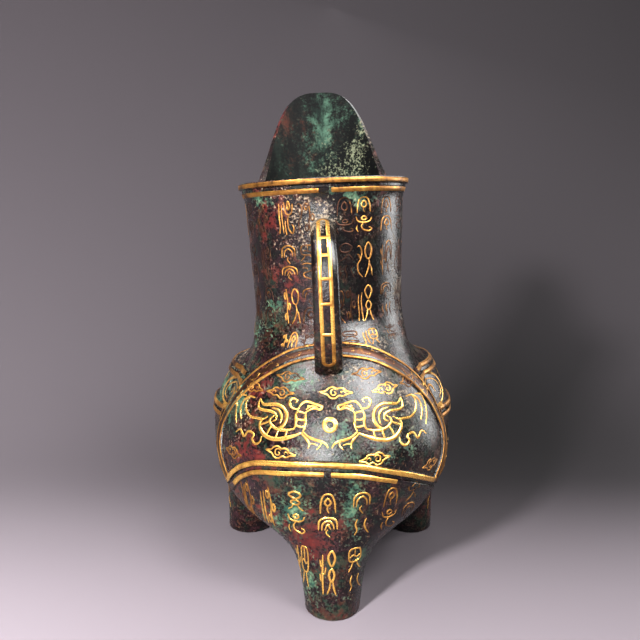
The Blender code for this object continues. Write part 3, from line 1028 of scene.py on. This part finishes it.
def arch_marks(gold):
    """Small curls along the arched band, between its two lines."""
    path = arch_path()
    for i in range(ARCH_MARK_FIRST, len(path) - ARCH_MARK_FIRST, ARCH_MARK_EVERY):
        (turn_before, z_before), (turn_after, z_after) = path[i - 3], path[i + 3]
        across = (turn_after - turn_before) * math.radians(ARCH_MARK_R)
        heading = math.atan2((z_after - z_before) / MM, across)
        flip = 1 if i % 2 else -1
        corners = []
        for along, up in ARCH_MARK:
            up *= flip
            corners.append((along * math.cos(heading) - up * math.sin(heading),
                            along * math.sin(heading) + up * math.cos(heading)))
        gold.draw(path[i], corners, 0.9, tone=0.22)


def picture(wall):
    """The disc and the birds, clouds about them, and double curls between the rings round the other lobes."""
    gold = Inlay(wall)
    gold.ring(DISC_PLACE, 3.0, 2.7)
    for facing in (1, -1):
        bird(gold, facing)
    for turn, height, facing, tone in CLOUDS:
        middle = (turn, height / 1000)
        gold.draw(middle, CLOUD_OUTLINE, 1.0, facing, closed=True, tone=tone)
        for curl in (CLOUD_CURL, CLOUD_WISP):
            gold.draw(middle, curl, 0.9, facing, tone=tone)
    for turn in SCROLL_TURNS:
        facing = 1 if turn > 0 else -1
        gold.draw((turn, SCROLL_Z), SCROLL_OUTER, 2.0, facing, tip=0.35, tone=0.15)
        gold.draw((turn, SCROLL_Z), SCROLL_INNER, 1.1, facing, tip=0.4, tone=0.2)
    arch_marks(gold)
    return gold


# Finishes


def linear(red, green, blue):
    """A colour from its display values, 0 to 255."""
    parts = [value / 255 for value in (red, green, blue)]
    return tuple(v / 12.92 if v <= 0.04045 else ((v + 0.055) / 1.055) ** 2.4 for v in parts) + (1.0,)


class Nodes:
    """A material's node tree, built call by call. What goes in is a value or another node's output."""

    def __init__(self, name):
        self.material = bpy.data.materials.new(name)
        self.material.use_nodes = True
        self.tree = self.material.node_tree
        self.shader = self.tree.nodes["Principled BSDF"]
        self.coordinates = self.tree.nodes.new("ShaderNodeTexCoord").outputs["Object"]

    def put(self, value, socket):
        if isinstance(value, bpy.types.NodeSocket):
            self.tree.links.new(value, socket)
        else:
            socket.default_value = value

    def set(self, **inputs):
        """Sets the shader's inputs, by their names with _ for each space."""
        for name, value in inputs.items():
            self.put(value, self.shader.inputs[name.replace("_", " ")])

    def add(self, kind, output, inputs, **settings):
        """An output of a new node."""
        node = self.tree.nodes.new("ShaderNode" + kind)
        for name, value in settings.items():
            setattr(node, name, value)
        for name, value in inputs.items():
            self.put(value, node.inputs[name])
        return node.outputs[output]

    def math(self, operation, first, second):
        return self.add("Math", 0, {0: first, 1: second}, operation=operation)

    def times(self, first, second):
        return self.math("MULTIPLY", first, second)

    def plus(self, total, *weighted):
        """A number and others added to it, each times its weight."""
        for value, weight in weighted:
            total = self.math("ADD", total, self.times(value, weight))
        return total

    def noise(self, size, detail, roughness, seed, stretch=(1, 1, 1)):
        """Fractal noise, about 0.5, with features of a given size in metres."""
        vector = self.add("Mapping", "Vector", {"Vector": self.coordinates, "Scale": stretch})
        inputs = {"Vector": vector, "W": seed, "Scale": 1 / size, "Detail": detail, "Roughness": roughness}
        return self.add("TexNoise", "Fac", inputs, noise_dimensions="4D")

    def ramp(self, value, low, high):
        """0 below low and 1 above high."""
        inputs = {"Value": value, "From Min": low, "From Max": high}
        return self.add("MapRange", "Result", inputs, interpolation_type="SMOOTHSTEP")

    def mix(self, share, first, second, kind="RGBA"):
        """A colour between two, or a number where the kind is FLOAT."""
        return self.add("Mix", "Result", {"Factor": share, "A": first, "B": second}, data_type=kind)

    def layers(self, colour, *layers):
        """A colour under layers: (where it shows, texture, low, high, colour at low, colour at high)."""
        for share, texture, low, high, dark, pale in layers:
            layer = self.mix(self.ramp(texture, low, high), linear(*dark), linear(*pale))
            colour = self.mix(share, colour, layer)
        return colour

    def mask(self, there, textures, low, high):
        """Where something shows: where its strength and the textures' rise above their middle add up."""
        risen = [(self.math("SUBTRACT", texture, 0.5), weight) for texture, weight in textures]
        return self.ramp(self.plus(there, *risen), low, high)

    def attribute(self, name, output="Fac"):
        return self.add("Attribute", output, {}, attribute_name=name)

    def bump(self, height, distance, strength):
        inputs = {"Height": height, "Distance": distance, "Strength": strength}
        self.set(Normal=self.add("Bump", "Normal", inputs))


def bronze_textures(nodes, soft=0.0):
    """The noises that both bronzes share, (broad, other, fine, grit), and their masks, (red, green,
    powder_and_sheen):
    the last is pale powder, which in places on the outside also paints sheen. The edges of red and green are
    softened by so much."""
    patina = nodes.add("SeparateColor", 0, {"Color": nodes.attribute("patina", "Color")}).node
    red_there, green_there, powder_and_sheen_there = patina.outputs[:3]
    broad = nodes.noise(0.020, 5, 0.62, 1)
    fine = nodes.noise(0.0050, 6, 0.75, 2)
    grit = nodes.noise(0.0014, 3, 0.7, 3)
    other = nodes.noise(0.0075, 6, 0.75, 4)
    red = nodes.mask(red_there, ((fine, 2.0), (broad, 1.2), (grit, 0.9)), 0.30 - soft, 0.62 + soft)
    green = nodes.mask(green_there, ((other, 2.2), (grit, 1.1)), 0.32 - soft, 0.60 + soft)
    powder_and_sheen = nodes.mask(powder_and_sheen_there, ((other, 1.0), (fine, 1.2), (grit, 1.6)), 0.34, 0.66)
    return (broad, other, fine, grit), (red, green, powder_and_sheen)


def bronze_material():
    """Near-black bronze under a waxed patina: red and brown oxides, green salts and pale powder, whose pale
    grain is in places a painted sheen.
    """
    nodes = Nodes("patinated_bronze")
    (broad, other, fine, grit), (red, green, powder_and_sheen) = bronze_textures(nodes)
    cover = nodes.attribute("patina", "Alpha")
    brown = nodes.times(cover, nodes.mask(broad, ((fine, 1.4), (grit, 0.6)), 0.43, 0.73))
    plum = nodes.times(cover, nodes.mask(other, ((grit, 0.9), (fine, -0.6)), 0.48, 0.68))
    moss = nodes.times(cover, nodes.mask(broad, ((other, -1.6), (grit, 1.1)), 0.50, 0.72))
    specks = nodes.times(cover, nodes.mask(grit, ((fine, 0.8),), 0.60, 0.80))
    colour = nodes.mix(brown, linear(4, 3, 3), linear(45, 20, 12))
    colour = nodes.mix(nodes.times(plum, 0.55), colour, linear(48, 24, 28))
    colour = nodes.mix(nodes.times(moss, 0.60), colour, linear(21, 40, 30))
    colour = nodes.mix(specks, colour, linear(88, 62, 44))
    colour = nodes.layers(
        colour,
        (red, fine, 0.4, 0.7, (42, 8, 9), (68, 20, 15)),
        (green, fine, 0.4, 0.68, (16, 44, 35), (76, 101, 77)),
        # pale powder; on the lobe's upper right, low middle and right shoulder its pale grain is a painted
        # sheen
        (powder_and_sheen, grit, 0.4, 0.7, (72, 62, 50), (134, 120, 100)),
    )
    gloss = 0.17
    for share, roughness in ((brown, 0.26), (red, 0.34), (green, 0.46), (powder_and_sheen, 0.55)):
        gloss = nodes.mix(share, gloss, roughness, "FLOAT")
    nodes.set(Base_Color=colour, Roughness=nodes.plus(gloss, (fine, 0.14)), Specular_IOR_Level=0.30)
    nodes.bump(nodes.plus(nodes.times(fine, 0.6), (grit, 0.4)), 0.0007, 0.6)
    return nodes.material


def inside_material():
    """The unpolished inside: the same patina, dull, run down the wall in streaks."""
    nodes = Nodes("dull_bronze")
    (_, _, _, grit), (red, green, powder_and_sheen) = bronze_textures(nodes, 0.14)
    runs = nodes.noise(0.0110, 6, 0.70, 5, stretch=(1, 1, 0.22))
    streaks = nodes.mask(runs, ((grit, 0.5),), 0.42, 0.66)
    colour = nodes.layers(
        nodes.mix(streaks, linear(2, 2, 2), linear(13, 19, 15)),
        (red, runs, 0.42, 0.60, (10, 6, 4), (48, 22, 15)),
        (green, runs, 0.40, 0.62, (7, 14, 11), (48, 70, 57)),
    )
    dust = nodes.times(powder_and_sheen, nodes.mask(runs, ((grit, 1.4),), 0.40, 0.60))
    colour = nodes.mix(dust, colour, linear(74, 76, 60))
    nodes.set(Base_Color=colour, Roughness=0.66, Specular_IOR_Level=0.05)
    nodes.bump(grit, 0.0004, 0.5)
    return nodes.material


def gold_material():
    """Inlaid gold, bright where it is rubbed and brown where it has worn thin. Each piece's tone browns it
    too, which on the neck beside the handle is painted shade.
    """
    nodes = Nodes("inlaid_gold")
    fine = nodes.noise(0.0035, 5, 0.7, 7)
    broad = nodes.noise(0.018, 3, 0.6, 8)
    # worn adds the noises' wear to each piece's tone, which on the neck beside the handle is painted shade
    worn = nodes.plus(broad, (fine, 0.9), (nodes.attribute("tone"), 1.0))
    colour = nodes.mix(nodes.ramp(worn, 0.90, 1.26), linear(226, 173, 84), linear(142, 96, 42))
    colour = nodes.mix(nodes.ramp(worn, 1.24, 1.54), colour, linear(52, 30, 20))
    roughness = nodes.mix(nodes.ramp(worn, 0.86, 1.3), 0.25, 0.45, "FLOAT")
    nodes.set(Base_Color=colour, Metallic=0.85, Roughness=roughness)
    nodes.bump(fine, 0.0002, 0.4)
    return nodes.material


# Where the patina shows, and how much: (turn, height, half width in degrees, half height, red, green,
# powder), with heights in millimetres and amounts in hundredths. The last few are inside the lip. The powder
# of the patches on the lobe's upper right, its low middle and the right shoulder is also a painted sheen:
# pale grain where the highlights fall.
PATINA = (
    (-42, 205, 18, 30, 46, 5, 0), (-30, 176, 12, 22, 34, 8, 0), (-48, 160, 16, 12, 10, 30, 0),
    (-50, 104, 16, 24, 26, 46, 14), (-38, 122, 14, 10, 48, 0, 0), (-18, 128, 15, 10, 0, 50, 14),
    (8, 134, 9, 6, 0, 10, 34), (28, 121, 15, 12, 0, 0, 34), (46, 100, 10, 20, 0, 0, 24),
    (-4, 96, 12, 5, 0, 0, 26), (34, 146, 16, 7, 0, 0, 30), (54, 190, 12, 40, 0, 0, 22),
    (8, 119, 9, 9, 0, 40, 0), (34, 112, 12, 12, 0, 10, 22), (18, 92, 12, 10, 10, 32, 0),
    (2, 106, 8, 10, 0, 26, 0), (22, 104, 9, 9, 0, 26, 0), (-30, 88, 16, 10, 34, 10, 0),
    (7, 64, 5, 20, 0, 62, 0), (13, 38, 8, 18, 0, 40, 0), (-6, 44, 12, 14, 32, 10, 0),
    (-10, 16, 14, 14, 20, 30, 4), (-13, 66, 6, 14, 0, 30, 0), (-24, 58, 14, 14, 22, 24, 0),
    (36, 66, 14, 12, 10, 26, 0), (8, 227.5, 26, 6, 0, 50, 20), (-50, 228, 14, 6, 0, 40, 10),
    (-3, 214, 11, 7, 0, 10, 42), (24, 222, 14, 10, 16, 26, 10), (30, 196, 12, 12, 24, 6, 0),
    (-26, 149, 14, 6, 12, 5, 34), (16, 150, 18, 6, 10, 12, 26), (-174, 292, 7, 26, 0, 60, 10),
    (-176, 262, 9, 24, 0, 34, 16), (-146, 284, 11, 18, 56, 0, 0), (155, 262, 12, 30, 0, 25, 50),
    (170, 245, 20, 10, 0, 35, 10),
)

# How much cleaner the neck is than the belly, over what height that starts, and how mottled the handle is.
NECK_CLEAN, NECK_BLEND = 0.5, 0.024
HANDLE_COVER = 0.6

# The slow drift of the patina over the whole casting: how much, how many waves in a metre, and how far apart
# its three noises are taken.
DRIFT, DRIFT_WAVES, DRIFT_APART = 0.38, 28, 7

# How many more patches there are round the sides and the back.
BACK_PATCHES = 26


def front_patches():
    """The patches of the list above, in metres and shares."""
    patches = []
    for turn, z, half_turn, half_height, *strengths in PATINA:
        patches.append((turn, z / 1000, half_turn, half_height / 1000, *(part / 100 for part in strengths)))
    return patches


def back_patches():
    """More patches, round the sides and the back."""
    rng = random.Random(3)
    patches = []
    for i in range(BACK_PATCHES):
        strengths = [0.0, 0.0, 0.0]
        strengths[i % 3] = rng.uniform(0.25, 0.50)
        turn, z = rng.uniform(75, 290), rng.uniform(0.01, 0.28)
        patches.append((turn, z, rng.uniform(7, 20), rng.uniform(0.006, 0.024), *strengths))
    return patches


PATINA_PATCHES = front_patches() + back_patches()


def patina_at(point):
    """Red, green and powder at a point, from the patches and the drift; in places the powder is a painted
    sheen.
    """
    turn = (math.degrees(math.atan2(point.y, point.x)) + 270) % 360 - 180
    sums = [0.0, 0.0, 0.0]
    for middle, z, half_turn, half_height, *strengths in PATINA_PATCHES:
        away = (turn - middle + 180) % 360 - 180
        near = math.exp(-((away / half_turn) ** 2) - ((point.z - z) / half_height) ** 2)
        sums = [total + strength * near for total, strength in zip(sums, strengths)]
    drifts = [noise.noise(point * DRIFT_WAVES + Vector((0, 0, DRIFT_APART * part))) for part in (1, 2, 3)]
    return [max(0.0, min(1.0, total + drift * DRIFT)) for total, drift in zip(sums, drifts)]


def add_patina(obj, cover):
    """Gives a piece's corners their patina as colour, and as alpha how far brown, plum and green mottle them,
    which is less up the neck."""
    colours = []
    for vertex in obj.data.vertices:
        point = vertex.co - AXIS
        up_neck = ease((point.z - NECK_FOOT_Z + NECK_BLEND / 2) / NECK_BLEND)
        colours.extend(patina_at(point) + [cover * (1 - NECK_CLEAN * up_neck)])
    obj.data.attributes.new("patina", "FLOAT_COLOR", "POINT").data.foreach_set("color", colours)


def outward(obj):
    """Turns a closed piece's faces outwards."""
    made = bmesh.new()
    made.from_mesh(obj.data)
    bmesh.ops.recalc_face_normals(made, faces=made.faces)
    made.to_mesh(obj.data)
    made.free()


# The studio

FLOOR_FRONT, FLOOR_NEAR, FLOOR_BACK, FLOOR_SIDE = -10.3, -0.3, 0.16, 10.0
FAR_STEP, NEAR_ROWS, BEND_ROWS, SIDE_COLUMNS, COLUMN_CROWDING = 0.4, 60, 40, 90, 5
WALL_BEND = 0.6
WALL_HEIGHT = 1.9

# How pale the sweep is, with light and shade painted in: its tone behind the vessel, and how that falls off
# to the right and up the wall, a painted fall-off of light. The paler floor in front, a painted pool of
# light: how much, from where, over what way. The darker pool behind on the right, a painted shadow of the
# vessel: how much, its place across and up the sweep, its two half widths.
TONE_TOP, TONE_RIGHT, TONE_UP = 0.057, 1.02, 0.99
PAINTED_FRONT_LIGHT, FRONT_FROM, FRONT_SPAN = 0.096, -0.282, 0.254
SHADOW_POOL_DEPTH, SHADOW_POOL_X, SHADOW_POOL_UP, SHADOW_POOL_WIDE, SHADOW_POOL_HIGH = 0.86, 0.187, 0.086, 0.268, 0.359


def painted_floor_light(x, along):
    """How pale the studio is at a place, with painted light and a painted shadow: across, and along the sweep
    from where it starts to bend up.
    """
    # painted fall-off of light: darker to the right and up the wall
    back = TONE_TOP * math.exp(-TONE_RIGHT * x - TONE_UP * along)
    # painted shadow of the vessel, behind it on the right
    shadow_pool = math.exp(-(((x - SHADOW_POOL_X) / SHADOW_POOL_WIDE) ** 2) - ((along - SHADOW_POOL_UP) / SHADOW_POOL_HIGH) ** 2)
    # painted light: a paler floor in front
    front = PAINTED_FRONT_LIGHT * (1 - ease((along - FRONT_FROM) / FRONT_SPAN))
    return back * (1 - SHADOW_POOL_DEPTH * shadow_pool) + front


def sweep_profile():
    """The sweep from the front up the wall, as (y, z, way along it from where it starts to bend up)."""
    ys = [*np.arange(FLOOR_FRONT, FLOOR_NEAR, FAR_STEP), *np.linspace(FLOOR_NEAR, FLOOR_BACK, NEAR_ROWS)]
    profile = [(y, 0.0, y - FLOOR_BACK) for y in ys]
    for i in range(1, BEND_ROWS + 1):
        turn = math.pi / 2 * i / BEND_ROWS
        y, z = FLOOR_BACK + WALL_BEND * math.sin(turn), WALL_BEND * (1 - math.cos(turn))
        profile.append((y, z, WALL_BEND * turn))
    top = WALL_BEND * math.pi / 2 + WALL_HEIGHT - WALL_BEND
    return [*profile, (FLOOR_BACK + WALL_BEND, WALL_HEIGHT, top)]


def sweep_floor():
    """A floor that bends up into a wall behind the vessel. Its columns crowd together behind the vessel."""
    profile = sweep_profile()
    crowding = COLUMN_CROWDING / SIDE_COLUMNS
    xs = []
    for i in range(-SIDE_COLUMNS, SIDE_COLUMNS + 1):
        xs.append(FLOOR_SIDE * math.sinh(i * crowding) / math.sinh(COLUMN_CROWDING))
    wide = len(xs)
    faces = []
    for row in range(len(profile) - 1):
        for start in range(row * wide, row * wide + wide - 1):
            faces.append((start, start + 1, start + wide + 1, start + wide))
    mesh = bpy.data.meshes.new("floor")
    mesh.from_pydata([(x, y, z) for y, z, _ in profile for x in xs], [], faces)
    mesh.shade_smooth()
    # the tones paint light and a shadow into the floor's colour
    add_tones(mesh, [painted_floor_light(x, along) for _, _, along in profile for x in xs])
    nodes = Nodes("studio_floor")
    # the tone darkens the floor where light and shadow are painted
    colour = nodes.mix(nodes.attribute("tone"), (0, 0, 0, 1), linear(255, 238, 250))
    nodes.set(Base_Color=colour, Roughness=0.8, Specular_IOR_Level=0.1)
    mesh.materials.append(nodes.material)
    obj = add_object("floor", mesh)


# What the lights are aimed at.
LIT_PLACE = Vector((0, 0, 0.13))


def add_light(name, turn, elevation, distance, size, power, height=None, sheen=True, spread=True):
    """A soft light aimed at the vessel from round it, for its sheen, for what it spreads, or for both."""
    data = bpy.data.lights.new(name, "AREA")
    data.shape = "RECTANGLE"
    data.size = size
    data.size_y = height or size
    data.energy = power
    obj = add_object(name, data)
    obj.visible_glossy = sheen
    obj.visible_diffuse = spread
    away = towards(angle_of(turn), math.radians(elevation))
    obj.location = LIT_PLACE + away * distance
    obj.rotation_euler = away.to_track_quat("Z", "Y").to_euler()


def studio():
    sweep_floor()
    add_light("key", -12, 12, 1.4, 0.42, 36, height=0.26, spread=False)
    add_light("front_left", -46, 56, 1.2, 0.40, 24, spread=False)
    add_light("front_right", 50, 43, 1.3, 0.80, 72, spread=False)
    add_light("right_strip", 112, 5, 1.0, 0.30, 10, height=0.8)
    add_light("overhead", -110, 62, 1.3, 0.7, 5)
    add_light("back", 160, 48, 0.8, 0.5, 2.5)
    add_light("main", -36, 24, 1.2, 0.13, 78, sheen=False)
    add_light("fill", 42, 50, 1.3, 0.40, 20, sheen=False)
    world = bpy.data.worlds.new("studio")
    bpy.context.scene.world = world
    world.use_nodes = True
    background = world.node_tree.nodes["Background"].inputs
    background["Color"].default_value = linear(150, 142, 150)
    background["Strength"].default_value = 0.12
    bpy.context.scene.view_settings.view_transform = "Standard"


# The camera, from the vessel's axis on the ground.
CAMERA_PLACE = Vector((-0.007, -0.401, 0.2156))
CAMERA_PITCH = math.radians(9.05)
CAMERA_LENS = 36.4


def add_camera():
    data = bpy.data.cameras.new("camera")
    data.lens = CAMERA_LENS
    data.sensor_width = 36
    obj = add_object("camera", data)
    obj.location = AXIS + CAMERA_PLACE
    obj.rotation_euler = (math.pi / 2 - CAMERA_PITCH, 0, 0)
    bpy.context.scene.camera = obj


def main():
    bronze, gold = bronze_material(), gold_material()
    body, inner_faces = vessel()
    solids = {
        "body": body,
        "handle": handle(),
        "arch_band": band(arch_path(), *ARCH_BAND),
        "belt_band": band(belt_path(), *BELT_BAND),
        "upper_ring": band(ring_path(*UPPER_RING), *BELT_BAND),
        "lower_ring": band(ring_path(*LOWER_RING), *BELT_BAND),
    }
    cast = [finish_piece(piece, name, bronze) for name, piece in solids.items()]
    cast[0].data.materials.append(inside_material())
    for i in inner_faces:
        cast[0].data.polygons[i].material_index = 1
    for obj in cast:
        outward(obj)
        roughen(obj)
        add_patina(obj, HANDLE_COVER if obj.name == "handle" else 1.0)
    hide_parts("ewer")
    bronze_wall, handle_wall = Wall(cast[0], *cast[2:]), Wall(cast[1])
    inlays = {
        "band_gold": all_band_gold(bronze_wall),
        "rim_gold": rim_gold(bronze_wall),
        "handle_gold": handle_gold(handle_wall),
        "inscription": inscription(bronze_wall),
        "picture": picture(bronze_wall),
    }
    for name, piece in inlays.items():
        finish_piece(piece, name, gold, sharp=80)
    studio()
    add_camera()


main()
